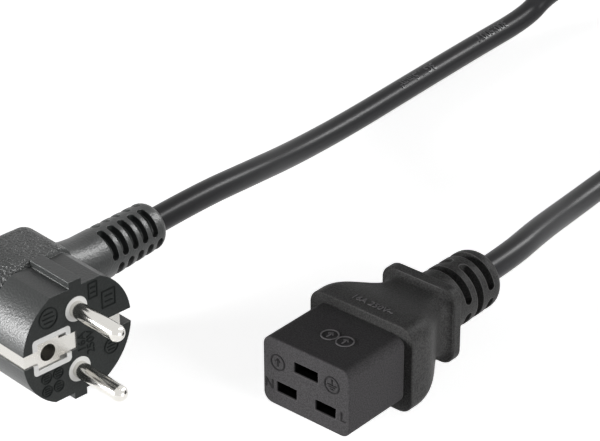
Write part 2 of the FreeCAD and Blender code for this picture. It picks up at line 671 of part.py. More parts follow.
def clip_notches():
    """Grooves in the drum for the legs and the strip of the earth clips."""
    half = CLIP_WIDTH / 2
    deep = FACE_RADIUS - CLIP_GAP - CLIP_THICKNESS
    leg = FACE_RADIUS - NOTCH_DEPTH - CLIP_THICKNESS
    groove = block(-FACE_RADIUS, -deep, 0, CLIP_REACH, -half, half)
    groove = groove.fuse(block(-FACE_RADIUS, -FRAME_LEFT, 0, FRAME_SUNK, -half, half))
    groove = groove.fuse(block(leg, FACE_RADIUS, 0, CLIP_REACH, -half, half))
    groove = groove.fuse(block(leg - BENT_TAB, leg, 0, FRAME_SUNK, -half, half))
    return groove.fuse(block(-FRAME_RIGHT, -TONGUE_TIP, 0, FRAME_SUNK,
                             -TONGUE_HALF_HEIGHT, TONGUE_HALF_HEIGHT))


def second_clip():
    """Earth clip on the cord's side: a leg in its notch, with its front end bent in over the face."""
    half = CLIP_WIDTH / 2
    leg = FACE_RADIUS - NOTCH_DEPTH - CLIP_THICKNESS
    y0 = FRAME_SUNK - CLIP_THICKNESS
    strip = block(leg, leg + CLIP_THICKNESS, y0, CLIP_REACH, -half, half)
    return strip.fuse(block(leg - BENT_TAB, leg, y0, FRAME_SUNK, -half, half)).removeSplitter()


def earth_sleeve():
    """Drawn earth socket behind the hole in the clip, closed at its back."""
    outer = rod(EARTH_HOLE_RADIUS + EARTH_WALL, EARTH_DEPTH, V(-EARTH_OFFSET, FRAME_SUNK, 0))
    return outer.cut(rod(EARTH_HOLE_RADIUS, EARTH_DEPTH - EARTH_WALL, V(-EARTH_OFFSET, FRAME_SUNK, 0)))


def plug_core_route(pole):
    """Points of one core in the plug, from its pin or socket to its place in the cord."""
    _, _, _, angle = POLES[pole]
    away = math.radians(angle)
    side = CORE_SPREAD * math.cos(away)
    rise = CORE_SPREAD * math.sin(away)
    starts = {"earth": V(-EARTH_OFFSET, FRAME_SUNK + EARTH_DEPTH, 0),
              "line": V(0, BRIDGE_FRONT + BRIDGE_THICKNESS + PIN_ROOT, PIN_SPACING / 2),
              "neutral": V(0, BRIDGE_FRONT + BRIDGE_THICKNESS + PIN_ROOT, -PIN_SPACING / 2)}
    start = starts[pole]
    end = EXIT_TURN.multVec(V(PLUG_JACKET_X, -rise, side))
    ahead = EXIT_TURN.multVec(V(PLUG_JACKET_X - PLUG_CORE_STRAIGHT, -rise, side))
    if pole == "earth":
        tilt = math.radians(CORD_TILT)
        reach = (-EARTH_OFFSET - rise * math.sin(tilt)) / math.cos(tilt)
        return [start, EXIT_TURN.multVec(V(reach, -rise, side)), end]
    return [start, V(start.x, (start.y + end.y) / 2, start.z), ahead, end]


def plug_core(pole):
    """Insulation of one core inside the plug."""
    return tube(plug_core_route(pole), CORE_DIAMETER)


def plug_conductor(side):
    """Stripped strands in the root of one pin."""
    start = V(0, BRIDGE_FRONT + BRIDGE_THICKNESS, side * PIN_SPACING / 2)
    return rod(CONDUCTOR_DIAMETER / 2, PIN_ROOT, start)


# ---------------------------------------------------------------- free cord
def connector_run():
    """Cord from the connector down to the floor and on to the coil."""
    end = V(COIL_X + COIL_OUTER_TURN, COIL_Y - COIL_TAIL, CORD_RADIUS)
    return [V(0, EXIT_Y, AXIS_Z), V(0, EXIT_Y + 14, AXIS_Z), V(-4.5, EXIT_Y + 34, 11.2),
            V(-10.5, EXIT_Y + 60, 6.2), V(-14.5, EXIT_Y + 92, CORD_RADIUS), V(-14, EXIT_Y + 128, CORD_RADIUS),
            V(-5, EXIT_Y + 165, CORD_RADIUS), V(end.x, end.y - 26, CORD_RADIUS), end]


def plug_run():
    """Cord from the plug down to the floor and on to the other side of the coil."""
    exit_point = PLUG_TURNED.multVec(EXIT_TURN.multVec(V(PLUG_EXIT_X, 0, 0)))
    ahead = PLUG_TURNED.multVec(EXIT_TURN.multVec(V(PLUG_EXIT_X + 20, 0, 0)))
    end = V(COIL_X - COIL_OUTER_TURN, COIL_Y - COIL_TAIL, CORD_DIAMETER * COIL_LAYERS - CORD_RADIUS)
    return [exit_point, ahead, V(-89, 38, 14.5), V(-95.5, 66, 8.0), V(-100, 98, 4.4),
            V(-102.5, 134, CORD_RADIUS), V(-104.5, 172, CORD_RADIUS), V(-104.3, 203, CORD_RADIUS + 1),
            V(end.x, end.y - 25, end.z), end]


def cord_coil():
    """Outer shape of the wound cord, with the two straight tails that leave it."""
    radius = CORD_RADIUS
    inner = COIL_OUTER_TURN - (COIL_TURNS_ACROSS - 1) * CORD_DIAMETER - radius
    width = COIL_OUTER_TURN + radius - inner
    height = COIL_LAYERS * CORD_DIAMETER
    section = rounded_rectangle(width, height, COIL_ROUND * radius, 0, height / 2)
    section.translate(V(inner + width / 2, 0, 0))
    ring = Part.Face(section).revolve(V(0, 0, 0), UP, 360)
    ring.translate(V(COIL_X, COIL_Y, 0))
    arrive = rod(radius, COIL_TAIL, V(COIL_X + COIL_OUTER_TURN, COIL_Y - COIL_TAIL, radius))
    depart = rod(radius, COIL_TAIL, V(COIL_X - COIL_OUTER_TURN, COIL_Y - COIL_TAIL, height - radius))
    return ring.fuse(arrive).fuse(depart).removeSplitter()


# ---------------------------------------------------------------- whole part
def build():
    """All pieces by node name."""
    pieces = {"nose_insert": nose_insert(), "insert_cap": insert_cap(), "inner_mould": inner_mould(),
              "grip_moulding": grip_moulding(),
              "jacket_end": jacket_end(JACKET_INSIDE, V(0, JACKET_Y, AXIS_Z), ALONG),
              "plug_moulding": plug_place(plug_moulding()), "plug_bridge": plug_place(plug_bridge()),
              "plug_line_pin": plug_place(pin(1)), "plug_neutral_pin": plug_place(pin(-1)),
              "plug_earth_clip": plug_place(earth_clip()), "plug_side_clip": plug_place(second_clip()),
              "plug_earth_socket": plug_place(earth_sleeve()),
              "plug_line_conductor": plug_place(plug_conductor(1)),
              "plug_neutral_conductor": plug_place(plug_conductor(-1)),
              "plug_jacket_end": plug_place(plug_jacket_end()),
              "cord_connector_run": tube(connector_run(), CORD_DIAMETER, "connector run"),
              "cord_plug_run": tube(plug_run(), CORD_DIAMETER, "plug run"),
              "cord_coil": cord_coil()}
    for pole in POLES:
        pieces[pole + "_contact"] = socket_contact(pole)
        pieces[pole + "_core"] = core(pole)
        pieces[pole + "_conductor"] = conductor(pole)
        pieces["plug_" + pole + "_core"] = plug_place(plug_core(pole))
    return pieces


os.makedirs("parts", exist_ok=True)
for node, shape in build().items():
    if shape.ShapeType == "Compound" and len(shape.Solids) == 1:
        shape = shape.Solids[0]
    print(node, shape.ShapeType, len(shape.Solids), "valid" if shape.isValid() else "INVALID",
          round(shape.Volume, 1))
    shape.exportStep("parts/" + node + ".step")
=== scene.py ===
"""Looks of a mains lead with a C19 connector: finishes, raised marks, the free cord and a studio.

Metres. The connector's nose points to -Y, its cord leaves along +Y, and the floor is at z = 0.
"""
import json
import math

import bmesh
import bpy
from mathutils import Matrix, Quaternion, Vector


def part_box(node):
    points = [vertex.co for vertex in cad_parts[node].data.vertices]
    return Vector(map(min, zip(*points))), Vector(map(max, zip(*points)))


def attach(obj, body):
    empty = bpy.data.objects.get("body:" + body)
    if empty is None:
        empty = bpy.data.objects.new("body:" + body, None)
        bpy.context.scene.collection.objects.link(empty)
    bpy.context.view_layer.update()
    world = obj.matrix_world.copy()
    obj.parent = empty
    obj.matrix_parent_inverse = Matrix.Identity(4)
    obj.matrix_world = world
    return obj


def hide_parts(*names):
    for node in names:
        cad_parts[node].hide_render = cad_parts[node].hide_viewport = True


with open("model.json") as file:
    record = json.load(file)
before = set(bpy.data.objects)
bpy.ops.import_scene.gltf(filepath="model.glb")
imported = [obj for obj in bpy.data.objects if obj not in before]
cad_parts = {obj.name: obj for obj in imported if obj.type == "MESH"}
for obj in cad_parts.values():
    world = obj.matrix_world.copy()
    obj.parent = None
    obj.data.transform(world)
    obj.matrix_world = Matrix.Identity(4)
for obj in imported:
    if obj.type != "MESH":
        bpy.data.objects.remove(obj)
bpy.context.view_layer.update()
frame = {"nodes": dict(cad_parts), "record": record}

bl_info = {
    "name": "C19 mains lead",
    "version": (1, 0, 0),
    "blender": (4, 5, 0),
    "location": "View3D > Sidebar > Lead",
    "description": "Finishes, raised marks, cord and studio of a mains lead with a C19 connector",
    "category": "Object",
}

MM = 0.001
NOSE_LOW, NOSE_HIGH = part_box("nose_insert")
GRIP_LOW, GRIP_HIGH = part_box("grip_moulding")
AXIS_Z = (NOSE_LOW.z + NOSE_HIGH.z) / 2
TIP_Y = NOSE_LOW.y
EXIT_Y = GRIP_HIGH.y
COIL_LOW, COIL_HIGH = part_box("cord_coil")
MOUNTS = {mount["name"]: mount for mount in frame["record"]["mounts"]}

CORD_NODES = ("cord_connector_run", "cord_plug_run", "cord_coil")

# How far the line and neutral slots lie below the connector's axis, and the earth slot above it
LINE_LOW, LINE_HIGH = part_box("line_conductor")
LIVE_DROP = AXIS_Z - (LINE_LOW.z + LINE_HIGH.z) / 2

# Meshes: distance under which vertices are joined, steps round a ring, and the font size that gives
# capital letters a height of one
WELD = 1e-7
RING_STEPS = 40
LETTER_SIZE = 1.38

# The cord: points in a turn of its coil, the share of a turn in which it climbs to the second layer,
# and the fineness of its curve, along it and round it
TURN_POINTS = 24
CLIMB_TURN = 0.5
CURVE_STEPS = 8


def plug_frame():
    """Frame of the plug: origin on its face between the pins, -Y along the pins, Z up the pin line."""
    line = MOUNTS["plug_line_pin"]
    neutral = MOUNTS["plug_neutral_pin"]
    out = Vector(line["axis"])
    middle = (Vector(line["pos_m"]) + Vector(neutral["pos_m"])) / 2
    origin = middle - out * line["dims"]["length_mm"] / 2 * MM
    up = Vector((0, 0, 1))
    back = -out
    side = back.cross(up)
    return Matrix((side, back, up)).transposed().to_4x4(), origin


PLUG_TURN, PLUG_ORIGIN = plug_frame()


# ---------------------------------------------------------------- settings
class LeadColours(bpy.types.PropertyGroup):
    """Colours of the mouldings, the cord and the metal."""

    nose: bpy.props.FloatVectorProperty(
        name="Nose", description="Colour of the rigid nose", subtype="COLOR",
        size=3, min=0.0, max=1.0, default=(0.06, 0.058, 0.06))
    grip: bpy.props.FloatVectorProperty(
        name="Grip", description="Colour of the soft grip moulding", subtype="COLOR",
        size=3, min=0.0, max=1.0, default=(0.05, 0.0495, 0.049))
    jacket: bpy.props.FloatVectorProperty(
        name="Cord", description="Colour of the cord's jacket", subtype="COLOR",
        size=3, min=0.0, max=1.0, default=(0.03, 0.03, 0.032))
    plug: bpy.props.FloatVectorProperty(
        name="Plug", description="Colour of the plug's moulding", subtype="COLOR",
        size=3, min=0.0, max=1.0, default=(0.013, 0.015, 0.0145))
    bridge: bpy.props.FloatVectorProperty(
        name="Bridge", description="Colour of the light bridge that holds the pins", subtype="COLOR",
        size=3, min=0.0, max=1.0, default=(0.62, 0.62, 0.61))
    nickel: bpy.props.FloatVectorProperty(
        name="Nickel", description="Colour of the nickel plate", subtype="COLOR",
        size=3, min=0.0, max=1.0, default=(0.7, 0.685, 0.65))


class LeadCord(bpy.types.PropertyGroup):
    """Sizes of the free cord and of its coil."""

    diameter: bpy.props.FloatProperty(
        name="Diameter", description="Outer diameter of the jacket",
        subtype="DISTANCE", unit="LENGTH", min=0.002, default=0.008)
    length: bpy.props.FloatProperty(
        name="Length", description="Length of the free cord between its two strain reliefs",
        subtype="DISTANCE", unit="LENGTH", min=0.1, default=1.78)
    outer_turn: bpy.props.FloatProperty(
        name="Outer turn", description="Radius of the coil's outer turn, at the middle of the cord",
        subtype="DISTANCE", unit="LENGTH", min=0.03, default=0.052)
    turns_down: bpy.props.IntProperty(
        name="Turns in a layer", description="Turns that wind inwards on the floor",
        min=1, default=2)


class LeadMarks(bpy.types.PropertyGroup):
    """Sizes of the raised letters and signs."""

    letter: bpy.props.FloatProperty(
        name="Letter height", description="Height of the letters beside the slots",
        subtype="DISTANCE", unit="LENGTH", min=0.0005, default=0.003)
    rating: bpy.props.FloatProperty(
        name="Rating height", description="Height of the letters of the ratings",
        subtype="DISTANCE", unit="LENGTH", min=0.0005, default=0.0022)
    jacket: bpy.props.FloatProperty(
        name="Cord letter height", description="Height of the letters on the cord",
        subtype="DISTANCE", unit="LENGTH", min=0.0005, default=0.0032)
    relief: bpy.props.FloatProperty(
        name="Relief", description="Height of the marks above their surface",
        subtype="DISTANCE", unit="LENGTH", min=0.00002, default=0.0002)
    stroke: bpy.props.FloatProperty(
        name="Stroke", description="Width of the lines of a drawn sign",
        subtype="DISTANCE", unit="LENGTH", min=0.00005, default=0.00036)


class LeadStage(bpy.types.PropertyGroup):
    """Light and floor of the studio."""

    floor: bpy.props.FloatVectorProperty(
        name="Floor", description="Colour of the floor", subtype="COLOR",
        size=3, min=0.0, max=1.0, default=(0.86, 0.86, 0.86))
    glow: bpy.props.FloatProperty(
        name="Floor glow", description="Share of white that the seen floor gives by itself",
        subtype="FACTOR", min=0.0, max=1.0, default=0.84)
    key: bpy.props.FloatProperty(
        name="Key light", description="Power of the soft light in front of the nose",
        subtype="POWER", unit="POWER", min=0.0, default=23.0)
    side: bpy.props.FloatProperty(
        name="Side light", description="Power of the soft light on the right",
        subtype="POWER", unit="POWER", min=0.0, default=14.0)
    back: bpy.props.FloatProperty(
        name="Back light", description="Power of the strip behind, which draws lines on the cord",
        subtype="POWER", unit="POWER", min=0.0, default=19.0)


# ---------------------------------------------------------------- finishes
HIDDEN_GREY = (0.3, 0.3, 0.31)
BRASS = (0.55, 0.4, 0.16)
COPPER = (0.7, 0.32, 0.18)
# Painted shade for the nose's slots and hollows
SLOT_PAINTED_SHADE = (0.002, 0.002, 0.002)
CORE_COLOURS = {"line": (0.16, 0.06, 0.02), "neutral": (0.03, 0.12, 0.45), "earth": (0.25, 0.45, 0.05)}

# Moulded finishes: radius and samples of the shaded edges, the turn of the surface between which an
# edge gets a painted highlight, and the range, detail and strength of the grain's noise
EDGE_RADIUS = 0.45 * MM
EDGE_SAMPLES = 6
EDGE_STARTS = 0.998
EDGE_FULL = 0.9
FLECK_RANGE = (0.35, 0.65)
GRAIN_DETAIL = 2.0
GRAIN_STRENGTH = 0.7

# The nose keeps its own colour for this far under its sides and its face; deeper in, its slots and
# hollows get painted shade
NOSE_WALL = 1.5 * MM
NOSE_SKIN = 0.05 * MM
SLOT_FADE = 0.4 * MM

# The plug's coarse grain, in the plug's frame: the box that has it, and its noise and bump
GRAIN_LOW = Vector((-30, 16.6, -30)) * MM
GRAIN_HIGH = Vector((13.2, 60, 30)) * MM
GRAIN_FADE = 0.8 * MM
COARSE_GRAIN = 1300.0
COARSE_DEPTH = 1.0 * MM

# What counts as the plug's flat face: how squarely it faces out, and how deep it may lie
FACE_SQUARE = 0.98
FACE_DEPTH = 1.0 * MM


def shader_of(material):
    """The main shader of a material."""
    return material.node_tree.nodes["Principled BSDF"]


def plain_finish(name, colour, roughness, metallic=0.0, level=0.5):
    """Material with one colour all over."""
    material = bpy.data.materials.new(name)
    material.use_nodes = True
    shader = shader_of(material)
    shader.inputs["Base Color"].default_value = (*colour, 1.0)
    shader.inputs["Roughness"].default_value = roughness
    shader.inputs["Metallic"].default_value = metallic
    shader.inputs["Specular IOR Level"].default_value = level
    return material


def noise(material, scale, detail):
    """Noise on the object's own coordinates; gives its value."""
    nodes = material.node_tree.nodes
    where = nodes.new("ShaderNodeTexCoord")
    texture = nodes.new("ShaderNodeTexNoise")
    texture.inputs["Scale"].default_value = scale
    texture.inputs["Detail"].default_value = detail
    material.node_tree.links.new(where.outputs["Object"], texture.inputs["Vector"])
    return texture.outputs["Fac"]


def two_tones(material, source, dark, light):
    """Colour that goes from dark to light with a value."""
    node = material.node_tree.nodes.new("ShaderNodeValToRGB")
    material.node_tree.links.new(source, node.inputs["Fac"])
    for element, place, colour in zip(node.color_ramp.elements, FLECK_RANGE, (dark, light)):
        element.position = place
        element.color = (*colour, 1.0)
    return node.outputs["Color"]


def soft_edges(material):
    """Shade sharp edges as if they were slightly rounded; gives the surface's direction."""
    node = material.node_tree.nodes.new("ShaderNodeBevel")
    node.samples = EDGE_SAMPLES
    node.inputs["Radius"].default_value = EDGE_RADIUS
    return node.outputs["Normal"]


def maths(material, operation, first, second):
    """Result of an operation on two values, each a socket or a number."""
    node = material.node_tree.nodes.new("ShaderNodeMath")
    node.operation = operation
    for socket, value in zip(node.inputs, (first, second)):
        if isinstance(value, float):
            socket.default_value = value
        else:
            material.node_tree.links.new(value, socket)
    return node.outputs["Value"]


def mapped(material, source, first, last):
    """Value that goes from 0 to 1 while the source goes from first to last."""
    node = material.node_tree.nodes.new("ShaderNodeMapRange")
    node.inputs["From Min"].default_value = first
    node.inputs["From Max"].default_value = last
    material.node_tree.links.new(source, node.inputs["Value"])
    return node.outputs["Result"]


def inside(material, low, high, soft, origin=Vector(), turn=Matrix()):
    """Value that is 0 outside a box and 1 from `soft` deep inside it, in a turned frame."""
    nodes = material.node_tree.nodes
    links = material.node_tree.links
    where = nodes.new("ShaderNodeTexCoord")
    place = nodes.new("ShaderNodeMapping")
    place.vector_type = "TEXTURE"
    place.inputs["Location"].default_value = origin
    place.inputs["Rotation"].default_value = turn.to_euler()
    split = nodes.new("ShaderNodeSeparateXYZ")
    links.new(where.outputs["Object"], place.inputs["Vector"])
    links.new(place.outputs["Vector"], split.inputs["Vector"])
    depth = 1.0
    for axis, start, end in zip("XYZ", low, high):
        place_on_axis = split.outputs[axis]
        for first, second in ((place_on_axis, start), (end, place_on_axis)):
            reach = maths(material, "SUBTRACT", first, second)
            depth = maths(material, "MINIMUM", depth, reach)
    return mapped(material, depth, 0.0, soft)


def blend(material, share, colour):
    """Mix the main shader's colour with a plain colour."""
    links = material.node_tree.links
    node = material.node_tree.nodes.new("ShaderNodeMix")
    node.data_type = "RGBA"
    socket = shader_of(material).inputs["Base Color"]
    links.new(share, node.inputs["Factor"])
    links.new(socket.links[0].from_socket, node.inputs["A"])
    node.inputs["B"].default_value = (*colour, 1.0)
    links.new(node.outputs["Result"], socket)


def edge_share(material, softened):
    """Value that is 1 along sharp edges, from the turn that the soft edge gives the surface; it places
    the painted highlight of moulded_finish.
    """
    nodes = material.node_tree.nodes
    links = material.node_tree.links
    flat = nodes.new("ShaderNodeNewGeometry")
    turn = nodes.new("ShaderNodeVectorMath")
    turn.operation = "DOT_PRODUCT"
    links.new(flat.outputs["Normal"], turn.inputs[0])
    links.new(softened, turn.inputs[1])
    return mapped(material, turn.outputs["Value"], EDGE_STARTS, EDGE_FULL)


def roughen(material, source, depth, strength, before):
    """Bump the surface with a height value, on top of the direction that it has before."""
    node = material.node_tree.nodes.new("ShaderNodeBump")
    node.inputs["Distance"].default_value = depth
    node.inputs["Strength"].default_value = strength
    links = material.node_tree.links
    links.new(source, node.inputs["Height"])
    links.new(before, node.inputs["Normal"])
    links.new(node.outputs["Normal"], shader_of(material).inputs["Normal"])


def shaded(colour, share):
    """Colour with every channel multiplied by a share."""
    return [channel * share for channel in colour]


def moulded_finish(name, colour, roughness, level, grain, depth, fleck, edge_highlight):
    """Moulded plastic or rubber with a fine spark texture, uneven colour and a painted highlight on
    sharp edges.
    """
    material = plain_finish(name, colour, roughness, level=level)
    fine = noise(material, grain, GRAIN_DETAIL)
    tint = two_tones(material, fine, shaded(colour, 1 - fleck), shaded(colour, 1 + fleck))
    material.node_tree.links.new(tint, shader_of(material).inputs["Base Color"])
    softened = soft_edges(material)
    # Painted highlight: sharp edges take a paler copy of the colour
    blend(material, edge_share(material, softened), shaded(colour, edge_highlight))
    roughen(material, fine, depth, GRAIN_STRENGTH, softened)
    return material


def dress(node, material):
    """Give a CAD node its finish."""
    mesh = frame["nodes"][node].data
    mesh.materials.clear()
    mesh.materials.append(material)


def dress_face(node, material):
    """Give the flat face that the plug's pins stand on a finish of its own."""
    mesh = frame["nodes"][node].data
    mesh.materials.append(material)
    out = PLUG_TURN.to_3x3() @ Vector((0, -1, 0))
    for polygon in mesh.polygons:
        height = (polygon.center - PLUG_ORIGIN).dot(out)
        if polygon.normal.dot(out) > FACE_SQUARE and height > -FACE_DEPTH:
            polygon.material_index = 1


# ---------------------------------------------------------------- building pieces
def finish_piece(bm, name, material):
    """Turn a bmesh into a piece that rides on the part's body."""
    bmesh.ops.remove_doubles(bm, verts=bm.verts, dist=WELD)
    bmesh.ops.recalc_face_normals(bm, faces=bm.faces)
    mesh = bpy.data.meshes.new(name)
    bm.to_mesh(mesh)
    bm.free()
    mesh.materials.append(material)
    piece = bpy.data.objects.new(name, mesh)
    bpy.context.scene.collection.objects.link(piece)
    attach(piece, "root")
    return piece


def add_bar(bm, centre, size, matrix):
    """Box of a size round a centre, in the frame of `matrix`."""
    place = matrix @ Matrix.Translation(centre) @ Matrix.Diagonal((*size, 1.0))
    bmesh.ops.create_cube(bm, size=1.0, matrix=place)


def add_ring(bm, centre, radius, width, height, matrix):
    """Ring with a square section, lying on the XY plane of `matrix` round a centre."""
    ring = bmesh.new()
    inner = radius - width / 2
    outer = radius + width / 2
    corners = ((inner, -height), (outer, -height), (outer, height), (inner, height))
    verts = [ring.verts.new((reach, 0.0, rise)) for reach, rise in corners]
    sides = [ring.edges.new((verts[i - 1], verts[i])) for i in range(len(verts))]
    bmesh.ops.spin(ring, geom=verts + sides, cent=(0, 0, 0), axis=(0, 0, 1), dvec=(0, 0, 0),
                   angle=2 * math.pi, steps=RING_STEPS,
                   use_merge=True, use_normal_flip=False, use_duplicate=False)
    bmesh.ops.transform(ring, matrix=matrix @ Matrix.Translation(centre), verts=ring.verts)
    add_bmesh(bm, ring)


def add_bmesh(bm, other):
    """Add another bmesh, which is freed."""
    mesh = bpy.data.meshes.new("part")
    other.to_mesh(mesh)
    other.free()
    bm.from_mesh(mesh)
    bpy.data.meshes.remove(mesh)


def add_letters(bm, text, height, depth, matrix):
    """Raised letters, centred on the origin of `matrix`, standing on its XY plane."""
    curve = bpy.data.curves.new(text, "FONT")
    curve.body = text
    curve.size = height * LETTER_SIZE
    curve.extrude = depth
    curve.align_x = "CENTER"
    curve.align_y = "CENTER"
    holder = bpy.data.objects.new(text, curve)
    bpy.context.scene.collection.objects.link(holder)
    bpy.context.view_layer.update()
    ready = holder.evaluated_get(bpy.context.evaluated_depsgraph_get())
    mesh = bpy.data.meshes.new_from_object(ready)
    bpy.data.objects.remove(holder)
    mesh.transform(matrix)
    bm.from_mesh(mesh)
    bpy.data.meshes.remove(mesh)


def add_earth_sign(bm, centre, radius, marks, matrix):
    """Earth sign in a ring: an upright over three bars that get shorter downwards."""
    depth = 2 * marks.relief
    upright = 0.72 * radius
    gap = 0.27 * radius
    add_ring(bm, centre, radius, marks.stroke, marks.relief, matrix)
    add_bar(bm, centre + Vector((0, upright / 2, 0)), (marks.stroke, upright, depth), matrix)
    for row, width in enumerate((1.3, 0.85, 0.4)):
        place = centre - Vector((0, gap * row, 0))
        add_bar(bm, place, (width * radius, 0.8 * marks.stroke, depth), matrix)


def add_clock(bm, centre, radius, marks, matrix):
    """Mould date mark: a ring with an arrow in it."""
    depth = 2 * marks.relief
    shaft = 1.1 * radius
    barb = 0.5 * radius
    add_ring(bm, centre, radius, marks.stroke, marks.relief, matrix)
    add_bar(bm, centre, (marks.stroke, shaft, depth), matrix)
    for side in (-1, 1):
        tip = matrix @ Matrix.Translation(centre + Vector((0, barb, 0)))
        lean = tip @ Matrix.Rotation(side * math.radians(40), 4, "Z")
        add_bar(bm, Vector((0, -barb / 2, 0)), (marks.stroke, barb, depth), lean)


def add_barred_ring(bm, centre, radius, marks, matrix):
    """Ring with three bars in it, the middle one wider."""
    add_ring(bm, centre, radius, marks.stroke, marks.relief, matrix)
    for row, width in ((-0.45, 1.0), (0.0, 1.3), (0.45, 1.0)):
        place = centre + Vector((0, row * radius, 0))
        add_bar(bm, place, (width * radius, 0.7 * marks.stroke, 2 * marks.relief), matrix)


def add_frame(bm, centre, width, height, marks, matrix):
    """Raised outline of a rectangle with two bars in it."""
    depth = 2 * marks.relief
    edge = (width + marks.stroke, marks.stroke, depth)
    bar = (0.6 * width, marks.stroke, depth)
    for side in (-1, 1):
        across = Vector((side * width / 2, 0, 0))
        add_bar(bm, centre + across, (marks.stroke, height, depth), matrix)
        add_bar(bm, centre + Vector((0, side * height / 2, 0)), edge, matrix)
        add_bar(bm, centre + Vector((0, side * height / 6, 0)), bar, matrix)


def facing(origin, right, up):
    """Frame that lies on a surface: X to the right, Y up the surface, Z out of it."""
    out = right.cross(up)
    turn = Matrix((right, up, out)).transposed().to_4x4()
    return Matrix.Translation(origin) @ turn


NOSE_FACE = facing(Vector((0.0, TIP_Y, AXIS_Z)), Vector((1, 0, 0)), Vector((0, 0, 1)))
PLUG_FACE = facing(PLUG_ORIGIN, PLUG_TURN.to_3x3() @ Vector((1, 0, 0)), Vector((0, 0, 1)))


# ---------------------------------------------------------------- the cord's route
def exit_point():
    """Where the cord leaves the connector's strain relief."""
    return Vector((0.0, EXIT_Y, AXIS_Z))


def plug_exit():
    """Where the cord leaves the plug's strain relief, and the direction it takes."""
    places = [vert.co for vert in frame["nodes"]["plug_jacket_end"].data.vertices]
    middle = sum(places, Vector()) / len(places)
    far = [place for place in places if place.y > middle.y]
    near = [place for place in places if place.y < middle.y]
    end = sum(far, Vector()) / len(far)
    start = sum(near, Vector()) / len(near)
    return end, (end - start).normalized()


def coil_centre():
    """Middle of the coil, on the floor."""
    width = COIL_HIGH.x - COIL_LOW.x
    return Vector(((COIL_LOW.x + COIL_HIGH.x) / 2, COIL_HIGH.y - width / 2, 0.0))


def coil_points(settings):
    """Control points of the turns: inwards on the floor, up to the second layer, outwards on top."""
    centre = coil_centre()
    radius = settings.diameter / 2
    down = settings.turns_down
    total = 2 * down + CLIMB_TURN
    outward = 1 / math.cos(math.pi / TURN_POINTS)
    points = []
    for i in range(1, int(total * TURN_POINTS)):
        turn = i / TURN_POINTS
        climb = min(max((turn - down) / CLIMB_TURN, 0.0), 1.0)
        inwards = min(turn, down) - max(turn - down - CLIMB_TURN, 0.0)
        reach = (settings.outer_turn - settings.diameter * inwards) * outward
        angle = 2 * math.pi * turn
        points.append(centre + Vector((reach * math.cos(angle), reach * math.sin(angle),
                                       radius + settings.diameter * climb)))
    return points


def cord_points(settings):
    """Route of the cord from the connector, through the coil, to the plug."""
    radius = settings.diameter / 2
    centre = coil_centre()
    tail_y = COIL_LOW.y
    start = exit_point()
    right = centre.x + settings.outer_turn
    left = centre.x - settings.outer_turn
    high = 3 * radius
    away = [(0.0, 0.014, AXIS_Z), (-0.0045, 0.034, 0.0112), (-0.0105, 0.060, 0.0062),
            (-0.0145, 0.092, radius), (-0.014, 0.128, radius), (-0.005, 0.165, radius)]
    points = [start]
    points += [Vector((x, start.y + y, z)) for x, y, z in away]
    points += [Vector((right, tail_y - 0.026, radius)), Vector((right, tail_y, radius)),
               Vector((right, centre.y, radius))]
    points += coil_points(settings)
    points += [Vector((left, centre.y, high)), Vector((left, tail_y, high)),
               Vector((left, tail_y - 0.025, high))]
    back = [(-0.1043, 0.203, radius + 0.001), (-0.1045, 0.172, radius), (-0.1025, 0.134, radius),
            (-0.100, 0.098, 0.0044), (-0.0955, 0.066, 0.008), (-0.089, 0.038, 0.0145)]
    points += [Vector(place) for place in back]
    end, ahead = plug_exit()
    points += [end + ahead * 0.020, end]
    return points


def route_curve(name, settings):
    """Curve with one open spline along the cord's route, which has no thickness yet."""
    route = cord_points(settings)
    curve = bpy.data.curves.new(name, "CURVE")
    curve.dimensions = "3D"
    curve.resolution_u = CURVE_STEPS
    curve.render_resolution_u = CURVE_STEPS
    spline = curve.splines.new("NURBS")
    spline.points.add(len(route) - 1)
    for point, place in zip(spline.points, route):
        point.co = (*place, 1.0)
    spline.order_u = 3
    spline.use_endpoint_u = True
    return curve


def line_from_plug(settings):
    """Middle of the cord as its spline gives it, from the plug back to the connector."""
    curve = route_curve("cord_line", settings)
    holder = bpy.data.objects.new("cord_line", curve)
    mesh = bpy.data.meshes.new_from_object(holder)
    line = [vert.co.copy() for vert in mesh.vertices]
    bpy.data.objects.remove(holder)
    bpy.data.curves.remove(curve)
    bpy.data.meshes.remove(mesh)
    return line[::-1]


def wrap(vert, line, middle, radius):
    """Bend a flat letter's vertex round the cord: X towards the plug, Y round it and Z out of it."""
    left = middle - vert.co.x
    for here, there in zip(line, line[1:]):
        step = there - here
        if left <= step.length:
            break
        left -= step.length
    ahead = -step.normalized()
    side = Vector((0, 0, 1)).cross(ahead).normalized()
    above = ahead.cross(side)
    angle = vert.co.y / radius + JACKET_TEXT_TURN
    out = above * math.cos(angle) + side * math.sin(angle)
    vert.co = here - ahead * left + out * (radius + vert.co.z)


# ---------------------------------------------------------------- where the marks stand
# On the nose's face: places of the pole letters, the earth sign and the date mark from its middle
POLE_LETTERS = ((-12.8, "N"), (12.8, "L"))
EARTH_SIGN_X = 9.0 * MM
EARTH_SIGN_RADIUS = 2.4 * MM
FACE_CLOCK_X = -9.8 * MM
FACE_CLOCK_RISE = 0.8 * LIVE_DROP
FACE_CLOCK_RADIUS = 2.3 * MM

# On the nose's top: the middle of two date marks, half the distance between them and their radius
TOP_CLOCKS = Vector((1.6 * MM, TIP_Y + 11.0 * MM, NOSE_HIGH.z))
TOP_CLOCK_SHIFT = 2.6 * MM
TOP_CLOCK_RADIUS = 2.4 * MM

# On the grip's top: the rating
GRIP_TEXT = "16A 250V~"
GRIP_TEXT_PLACE = Vector((0.9 * MM, TIP_Y + 26.4 * MM, 0.0))

# On the cord: how many millimetres before the plug the middle of each text lies, and how far the
# texts are turned round the cord from its top
JACKET_TEXTS = ((190.3, "300/500V"), (146.3, "3G 1.5mm\u00b2"))
JACKET_TEXT_TURN = math.radians(20)

